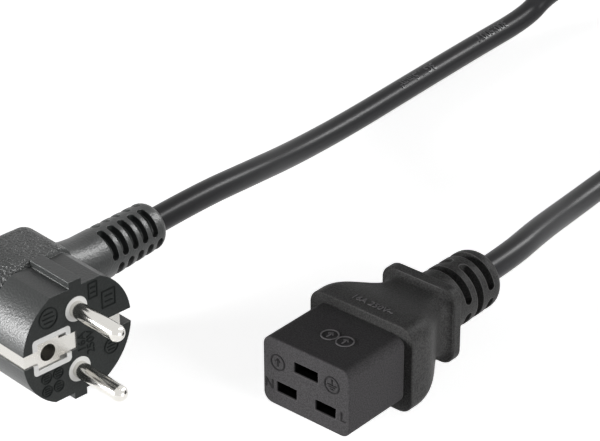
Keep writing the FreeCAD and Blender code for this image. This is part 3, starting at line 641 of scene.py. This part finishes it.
# On the plug's face, in millimetres from its middle: rings (x, y, radius), frames (x, y, width,
# height) and upright texts (x, text)
SMALL_RINGS = [(-11.2 + 3.9 * i, -7.6 - 4.1 * k, 1.6) for i in range(2) for k in range(2)]
PLUG_RINGS = [(-9.4, 10.6, 3.0), (11.2, -7.0, 2.3)] + SMALL_RINGS
PLUG_FRAMES = ((5.8, 13.0, 2.8, 4.6), (11.0, 8.4, 4.4, 5.0))
PLUG_TEXTS = ((1.2, "16A"), (4.2, "250V~"))
PLUG_TEXT_Y = -1.5 * MM
PLUG_TEXT_SHARE = 1.2


# ---------------------------------------------------------------- operators
class LEAD_OT_connector(bpy.types.Operator):
    """Give the connector's pieces their finishes"""

    bl_idname = "lead.connector"
    bl_label = "Dress the connector"

    def execute(self, context):
        colours = context.scene.lead_colours
        nose = moulded_finish("matt_nose", colours.nose, roughness=0.6, level=0.02,
                              grain=2600.0, depth=0.12 * MM, fleck=0.22, edge_highlight=2.0)
        low = NOSE_LOW + Vector((NOSE_WALL, NOSE_SKIN, NOSE_WALL))
        high = NOSE_HIGH - Vector((NOSE_WALL, NOSE_WALL, NOSE_WALL))
        # Painted shade: the nose's colour goes nearly black inside its slots and hollows, where shade
        # falls
        blend(nose, inside(nose, low, high, SLOT_FADE), SLOT_PAINTED_SHADE)
        grip = moulded_finish("soft_grip", colours.grip, roughness=0.42, level=0.045,
                              grain=2200.0, depth=0.2 * MM, fleck=0.35, edge_highlight=3.2)
        # Painted shade: the nose's face marks are a darker copy of the nose's colour, standing in for
        # the shade on their sides
        plain_finish("painted_shade_mark", shaded(colours.nose, 0.5), 0.8, level=0.05)
        # Painted highlight: the nose's top marks and the grip's rating are a paler copy of the nose's
        # colour, standing in for light on their edges
        plain_finish("painted_highlight_mark", shaded(colours.nose, 2.2), 0.5, level=0.1)
        plain_finish("face_mark", colours.plug, 0.6, level=0.06)
        inner = plain_finish("hidden_grey", HIDDEN_GREY, 0.7)
        jacket = plain_finish("jacket_end", colours.jacket, 0.4, level=0.35)
        brass = plain_finish("pressed_brass", BRASS, 0.32, metallic=1.0)
        copper = plain_finish("bare_copper", COPPER, 0.35, metallic=1.0)
        dress("nose_insert", nose)
        dress("insert_cap", nose)
        dress("grip_moulding", grip)
        dress("inner_mould", inner)
        dress("jacket_end", jacket)
        for pole, colour in CORE_COLOURS.items():
            sheath = plain_finish(pole + "_sheath", colour, 0.4)
            dress(pole + "_core", sheath)
            dress("plug_" + pole + "_core", sheath)
            dress(pole + "_contact", brass)
            dress(pole + "_conductor", copper)
        dress("plug_line_conductor", copper)
        dress("plug_neutral_conductor", copper)
        return {"FINISHED"}


class LEAD_OT_plug(bpy.types.Operator):
    """Give the plug's pieces their finishes"""

    bl_idname = "lead.plug"
    bl_label = "Dress the plug"

    def execute(self, context):
        colours = context.scene.lead_colours
        body = moulded_finish("satin_plug", colours.plug, roughness=0.4, level=0.6,
                              grain=1500.0, depth=0.16 * MM, fleck=0.15, edge_highlight=2.5)
        zone = inside(body, GRAIN_LOW, GRAIN_HIGH, GRAIN_FADE, PLUG_ORIGIN, PLUG_TURN)
        coarse = maths(body, "MULTIPLY", noise(body, COARSE_GRAIN, 1.0), zone)
        fine = shader_of(body).inputs["Normal"].links[0].from_socket
        roughen(body, coarse, COARSE_DEPTH, 1.0, fine)
        face = moulded_finish("matt_face", colours.plug, roughness=0.5, level=0.2,
                              grain=1800.0, depth=0.06 * MM, fleck=0.2, edge_highlight=2.0)
        bridge = plain_finish("light_bridge", colours.bridge, 0.45)
        nickel = plain_finish("bright_nickel", colours.nickel, 0.16, metallic=1.0)
        strip = plain_finish("dull_nickel", shaded(colours.nickel, 0.85), 0.26, metallic=1.0)
        jacket = plain_finish("plug_jacket_end", colours.jacket, 0.4, level=0.35)
        dress("plug_moulding", body)
        dress_face("plug_moulding", face)
        dress("plug_bridge", bridge)
        dress("plug_jacket_end", jacket)
        dress("plug_line_pin", nickel)
        dress("plug_neutral_pin", nickel)
        for node in ("plug_earth_clip", "plug_side_clip", "plug_earth_socket"):
            dress(node, strip)
        return {"FINISHED"}


class LEAD_OT_cord(bpy.types.Operator):
    """Lay the free cord from the connector, through its coil, to the plug"""

    bl_idname = "lead.cord"
    bl_label = "Lay the cord"

    def execute(self, context):
        settings = context.scene.lead_cord
        colours = context.scene.lead_colours
        curve = route_curve("cord", settings)
        curve.bevel_depth = settings.diameter / 2
        curve.bevel_resolution = CURVE_STEPS
        curve.use_fill_caps = True
        material = plain_finish("satin_jacket", colours.jacket, 0.32, level=0.12)
        curve.materials.append(material)
        cord = bpy.data.objects.new("cord", curve)
        context.scene.collection.objects.link(cord)
        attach(cord, "root")
        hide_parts(*CORD_NODES)
        return {"FINISHED"}


class LEAD_OT_nose_marks(bpy.types.Operator):
    """Put raised pole letters, an earth sign and date marks on the nose"""

    bl_idname = "lead.nose_marks"
    bl_label = "Mark the nose"

    def execute(self, context):
        marks = context.scene.lead_marks
        bm = bmesh.new()
        for x, letter in POLE_LETTERS:
            place = NOSE_FACE @ Matrix.Translation((x * MM, -LIVE_DROP, 0))
            add_letters(bm, letter, marks.letter, marks.relief, place)
        sign = Vector((EARTH_SIGN_X, LIVE_DROP, 0))
        add_earth_sign(bm, sign, EARTH_SIGN_RADIUS, marks, NOSE_FACE)
        clock = Vector((FACE_CLOCK_X, FACE_CLOCK_RISE, 0))
        add_clock(bm, clock, FACE_CLOCK_RADIUS, marks, NOSE_FACE)
        # The face marks carry painted shade
        finish_piece(bm, "nose_marks", bpy.data.materials["painted_shade_mark"])
        top = facing(TOP_CLOCKS, Vector((1, 0, 0)), Vector((0, 1, 0)))
        bm = bmesh.new()
        for side in (-1, 1):
            add_clock(bm, Vector((side * TOP_CLOCK_SHIFT, 0, 0)), TOP_CLOCK_RADIUS, marks, top)
        # The top marks carry a painted highlight
        finish_piece(bm, "nose_clocks", bpy.data.materials["painted_highlight_mark"])
        return {"FINISHED"}


class LEAD_OT_grip_marks(bpy.types.Operator):
    """Put the raised rating on top of the grip"""

    bl_idname = "lead.grip_marks"
    bl_label = "Mark the grip"

    def execute(self, context):
        marks = context.scene.lead_marks
        grip = frame["nodes"]["grip_moulding"]
        flat = facing(GRIP_TEXT_PLACE, Vector((1, 0, 0)), Vector((0, 1, 0)))
        bm = bmesh.new()
        add_letters(bm, GRIP_TEXT, marks.rating, marks.relief, flat)
        for vert in bm.verts:
            above = Vector((vert.co.x, vert.co.y, GRIP_HIGH.z + 10 * MM))
            hit, place, _, _ = grip.ray_cast(above, Vector((0, 0, -1)))
            if not hit:
                raise RuntimeError("the rating doesn't lie on the grip")
            vert.co.z += place.z
        # The rating carries a painted highlight
        finish_piece(bm, "grip_marks", bpy.data.materials["painted_highlight_mark"])
        return {"FINISHED"}


class LEAD_OT_cord_marks(bpy.types.Operator):
    """Put the raised size of the cores and the voltage on the cord's jacket"""

    bl_idname = "lead.cord_marks"
    bl_label = "Mark the cord"

    def execute(self, context):
        marks = context.scene.lead_marks
        cord = context.scene.lead_cord
        line = line_from_plug(cord)
        bm = bmesh.new()
        for middle, text in JACKET_TEXTS:
            letters = bmesh.new()
            add_letters(letters, text, marks.jacket, marks.relief, Matrix.Identity(4))
            for vert in letters.verts:
                wrap(vert, line, middle * MM, cord.diameter / 2)
            add_bmesh(bm, letters)
        # Painted highlight: the cord's letters are a paler copy of the jacket's colour, standing in
        # for light on their edges
        colour = shaded(context.scene.lead_colours.jacket, 2.4)
        finish = plain_finish("painted_highlight_jacket_mark", colour, 0.35, level=0.3)
        finish_piece(bm, "cord_marks", finish)
        return {"FINISHED"}


class LEAD_OT_plug_marks(bpy.types.Operator):
    """Put raised rings, frames and the rating on the plug's face"""

    bl_idname = "lead.plug_marks"
    bl_label = "Mark the plug"

    def execute(self, context):
        marks = context.scene.lead_marks
        bm = bmesh.new()
        for x, y, radius in PLUG_RINGS:
            add_barred_ring(bm, Vector((x, y, 0)) * MM, radius * MM, marks, PLUG_FACE)
        for x, y, width, height in PLUG_FRAMES:
            add_frame(bm, Vector((x, y, 0)) * MM, width * MM, height * MM, marks, PLUG_FACE)
        upright = Matrix.Rotation(math.radians(90), 4, "Z")
        for x, text in PLUG_TEXTS:
            place = PLUG_FACE @ Matrix.Translation((x * MM, PLUG_TEXT_Y, 0)) @ upright
            add_letters(bm, text, PLUG_TEXT_SHARE * marks.rating, marks.relief, place)
        finish_piece(bm, "plug_marks", bpy.data.materials["face_mark"])
        return {"FINISHED"}


# ---------------------------------------------------------------- stage
FLOOR_HALF = 15.0
FLOOR_DROP = 0.2 * MM
WORLD_LIGHT = 0.08

# Lights: what they face and from how far, the direction each comes from, and their two sides
LIGHT_TARGET = Vector((-0.03, 0.0, 0.01))
LIGHT_DISTANCE = 1.3
KEY_FROM = (-0.6, -0.8, 0.14)
SIDE_FROM = (1.0, -0.1, 0.1)
BACK_FROM = (0.33, 0.7, 0.6)
SOFT_SIZE = (0.4, 0.4)
STRIP_SIZE = (0.25, 1.2)
STRIP_LEAN = 37.6

CAMERA_PLACE = Vector((0.3467, TIP_Y - 0.3991, 0.3633))
CAMERA_YAW = math.radians(41.12)
CAMERA_PITCH = math.radians(29.54)
CAMERA_ROLL = math.radians(-0.29)


class LEAD_OT_stage(bpy.types.Operator):
    """Set the floor, the soft lights, the white surroundings and the camera"""

    bl_idname = "lead.stage"
    bl_label = "Set the stage"

    def execute(self, context):
        settings = context.scene.lead_stage
        make_floor(settings)
        make_world(context.scene)
        add_light("key_light", KEY_FROM, SOFT_SIZE, settings.key)
        add_light("side_light", SIDE_FROM, SOFT_SIZE, settings.side)
        strip = add_light("back_light", BACK_FROM, STRIP_SIZE, settings.back, STRIP_LEAN)
        strip.visible_diffuse = False
        make_camera(context.scene)
        return {"FINISHED"}


def seen_rays(tree):
    """Value that is 1 for rays of the camera, mirrors and glass."""
    ray = tree.nodes.new("ShaderNodeLightPath")
    value = ray.outputs["Is Camera Ray"]
    for kind in ("Is Glossy Ray", "Is Transmission Ray"):
        node = tree.nodes.new("ShaderNodeMath")
        node.operation = "MAXIMUM"
        tree.links.new(value, node.inputs[0])
        tree.links.new(ray.outputs[kind], node.inputs[1])
        value = node.outputs["Value"]
    return value


def make_floor(settings):
    """Pale floor, which the camera sees as white where no shadow falls."""
    bm = bmesh.new()
    bmesh.ops.create_grid(bm, x_segments=1, y_segments=1, size=FLOOR_HALF)
    mesh = bpy.data.meshes.new("floor")
    bm.to_mesh(mesh)
    bm.free()
    floor = bpy.data.objects.new("floor", mesh)
    floor.location.z = -FLOOR_DROP
    bpy.context.scene.collection.objects.link(floor)
    material = plain_finish("pale_floor", settings.floor, 0.8, level=0.2)
    tree = material.node_tree
    lit = tree.nodes.new("ShaderNodeAddShader")
    glow = tree.nodes.new("ShaderNodeEmission")
    glow_share = maths(material, "MULTIPLY", seen_rays(tree), settings.glow)
    tree.links.new(glow_share, glow.inputs["Strength"])
    tree.links.new(shader_of(material).outputs["BSDF"], lit.inputs[0])
    tree.links.new(glow.outputs["Emission"], lit.inputs[1])
    tree.links.new(lit.outputs["Shader"], tree.nodes["Material Output"].inputs["Surface"])
    mesh.materials.append(material)


def make_world(scene):
    """Surroundings that look white and give a weak even light."""
    world = bpy.data.worlds.new("studio")
    scene.world = world
    world.use_nodes = True
    tree = world.node_tree
    tree.nodes.clear()
    weak = tree.nodes.new("ShaderNodeBackground")
    weak.inputs["Color"].default_value = (1.0, 1.0, 1.0, 1.0)
    weak.inputs["Strength"].default_value = WORLD_LIGHT
    white = tree.nodes.new("ShaderNodeBackground")
    white.inputs["Color"].default_value = (1.0, 1.0, 1.0, 1.0)
    mix = tree.nodes.new("ShaderNodeMixShader")
    output = tree.nodes.new("ShaderNodeOutputWorld")
    tree.links.new(seen_rays(tree), mix.inputs["Fac"])
    tree.links.new(weak.outputs["Background"], mix.inputs[1])
    tree.links.new(white.outputs["Background"], mix.inputs[2])
    tree.links.new(mix.outputs["Shader"], output.inputs["Surface"])


def add_light(name, direction, size, power, lean=0.0):
    """Soft flat light that faces the object from a direction, leaning from upright by some degrees."""
    data = bpy.data.lights.new(name, "AREA")
    data.shape = "RECTANGLE"
    data.size, data.size_y = size
    data.energy = power
    lamp = bpy.data.objects.new(name, data)
    away = Vector(direction).normalized()
    lamp.location = LIGHT_TARGET + away * LIGHT_DISTANCE
    turn = away.to_track_quat("Z", "Y") @ Quaternion((0, 0, 1), math.radians(lean))
    lamp.rotation_euler = turn.to_euler()
    bpy.context.scene.collection.objects.link(lamp)
    return lamp


def make_camera(scene):
    """Camera above and to the right of the nose, looking down on the connector and the plug."""
    data = bpy.data.cameras.new("camera")
    data.sensor_width = 36.0
    data.lens = 144.0
    data.clip_start = 0.05
    data.clip_end = 20.0
    level = Vector((-math.sin(CAMERA_YAW), math.cos(CAMERA_YAW), 0.0))
    ahead = level * math.cos(CAMERA_PITCH) - Vector((0, 0, math.sin(CAMERA_PITCH)))
    right = Vector((math.cos(CAMERA_YAW), math.sin(CAMERA_YAW), 0.0))
    up = right.cross(ahead)
    across = right * math.cos(CAMERA_ROLL) + up * math.sin(CAMERA_ROLL)
    above = up * math.cos(CAMERA_ROLL) - right * math.sin(CAMERA_ROLL)
    turn = Matrix((across, above, -ahead)).transposed().to_4x4()
    camera = bpy.data.objects.new("camera", data)
    camera.matrix_world = Matrix.Translation(CAMERA_PLACE) @ turn
    scene.collection.objects.link(camera)
    scene.camera = camera
    scene.view_settings.view_transform = "Standard"


# ---------------------------------------------------------------- panel
class LEAD_PT_panel(bpy.types.Panel):
    """Steps that build the lead's looks"""

    bl_idname = "LEAD_PT_panel"
    bl_label = "Mains lead"
    bl_space_type = "VIEW_3D"
    bl_region_type = "UI"
    bl_category = "Lead"

    def draw(self, context):
        layout = self.layout
        for step in STEPS:
            layout.operator(step.bl_idname)
        for name in SETTINGS:
            box = layout.box()
            group = getattr(context.scene, name)
            for key in group.bl_rna.properties.keys():
                if key not in ("rna_type", "name"):
                    box.prop(group, key)


SETTINGS = {
    "lead_colours": LeadColours,
    "lead_cord": LeadCord,
    "lead_marks": LeadMarks,
    "lead_stage": LeadStage,
}
STEPS = (LEAD_OT_connector, LEAD_OT_plug, LEAD_OT_cord, LEAD_OT_nose_marks, LEAD_OT_grip_marks,
         LEAD_OT_plug_marks, LEAD_OT_cord_marks, LEAD_OT_stage)


def register():
    """Add the settings, the steps and the panel."""
    for name, group in SETTINGS.items():
        bpy.utils.register_class(group)
        setattr(bpy.types.Scene, name, bpy.props.PointerProperty(type=group))
    for step in STEPS:
        bpy.utils.register_class(step)
    bpy.utils.register_class(LEAD_PT_panel)


def unregister():
    """Take the panel, the steps and the settings out again."""
    bpy.utils.unregister_class(LEAD_PT_panel)
    for step in reversed(STEPS):
        bpy.utils.unregister_class(step)
    for name, group in SETTINGS.items():
        delattr(bpy.types.Scene, name)
        bpy.utils.unregister_class(group)


def main():
    """Build everything in order."""
    register()
    bpy.ops.lead.connector()
    bpy.ops.lead.plug()
    bpy.ops.lead.cord()
    bpy.ops.lead.nose_marks()
    bpy.ops.lead.grip_marks()
    bpy.ops.lead.plug_marks()
    bpy.ops.lead.cord_marks()
    bpy.ops.lead.stage()


if __name__ == "__main__":
    main()
